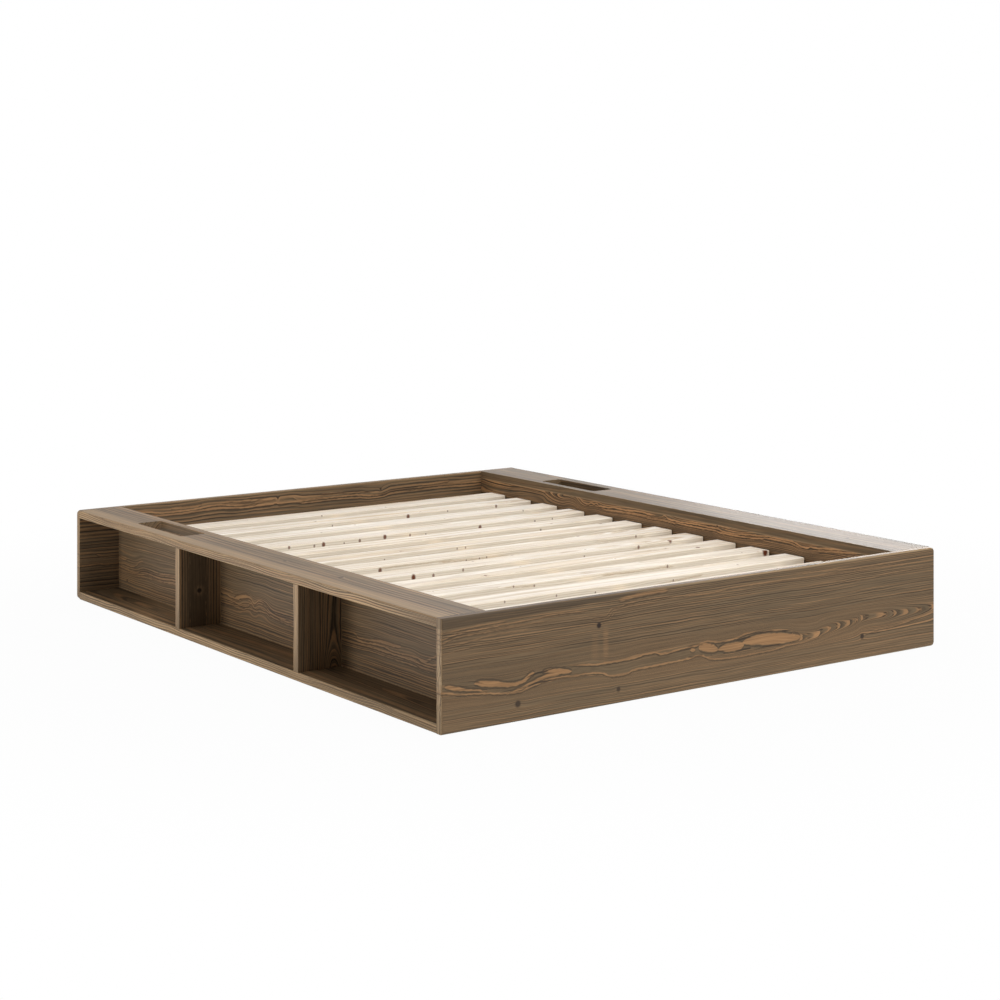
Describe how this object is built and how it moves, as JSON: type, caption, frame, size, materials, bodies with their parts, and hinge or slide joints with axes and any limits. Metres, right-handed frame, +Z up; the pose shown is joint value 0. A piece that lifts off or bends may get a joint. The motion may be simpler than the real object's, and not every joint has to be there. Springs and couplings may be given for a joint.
{
  "type": "storage bed",
  "caption": "Low wooden double bed frame with open side shelves, slotted top boards and a sunk, lift-out slatted base that carries a mattress.",
  "frame": {"origin": "on the floor at the middle of the bed", "axes": "+X across the bed, +Y along the bed from foot board to head board, +Z up"},
  "size_m": [1.7, 2.06, 0.28],
  "materials": {
    "stained_pine": "brushed pine, grey-brown stain, satin lacquer",
    "pale_spruce": "planed spruce, untreated",
    "plain_pine": "planed pine, untreated",
    "beech": "fluted beech",
    "zinc_steel": "zinc-plated steel",
    "cast_zinc": "die-cast zinc",
    "webbing": "woven polyester tape",
    "glide_plastic": "moulded plastic"
  },
  "bodies": {
    "frame": {"foot_board": "stained_pine", "head_board": "stained_pine", "left_top_board": "stained_pine", "left_bottom_board": "stained_pine", "left_back_panel": "stained_pine", "left_divider_foot": "stained_pine", "left_divider_head": "stained_pine", "right_top_board": "stained_pine", "right_bottom_board": "stained_pine", "right_back_panel": "stained_pine", "right_divider_foot": "stained_pine", "right_divider_head": "stained_pine", "left_slat_ledger": "stained_pine", "right_slat_ledger": "stained_pine", "centre_beam": "plain_pine", "centre_leg_foot": "plain_pine", "centre_leg_head": "plain_pine", "beam_shoe_foot": "zinc_steel", "beam_shoe_head": "zinc_steel", "end_dowels": "beech", "divider_dowels": "beech", "cam_bolts": "zinc_steel", "cam_housings": "cast_zinc", "panel_screws": "zinc_steel", "ledger_screws": "zinc_steel", "shoe_screws": "zinc_steel", "leg_screws": "zinc_steel", "leg_glides": "glide_plastic"},
    "slat_base": {"slat_01": "pale_spruce", "slat_02": "pale_spruce", "slat_03": "pale_spruce", "slat_04": "pale_spruce", "slat_05": "pale_spruce", "slat_06": "pale_spruce", "slat_07": "pale_spruce", "slat_08": "pale_spruce", "slat_09": "pale_spruce", "slat_10": "pale_spruce", "slat_11": "pale_spruce", "slat_12": "pale_spruce", "slat_13": "pale_spruce", "left_slat_strap": "webbing", "right_slat_strap": "webbing", "strap_staples": "zinc_steel"}
  },
  "joints": [
    {"name": "slat_base_lift", "type": "slide", "parent": "frame", "child": "slat_base", "axis": [0, 0, 1], "range_m": [0, 0.15]}
  ]
}
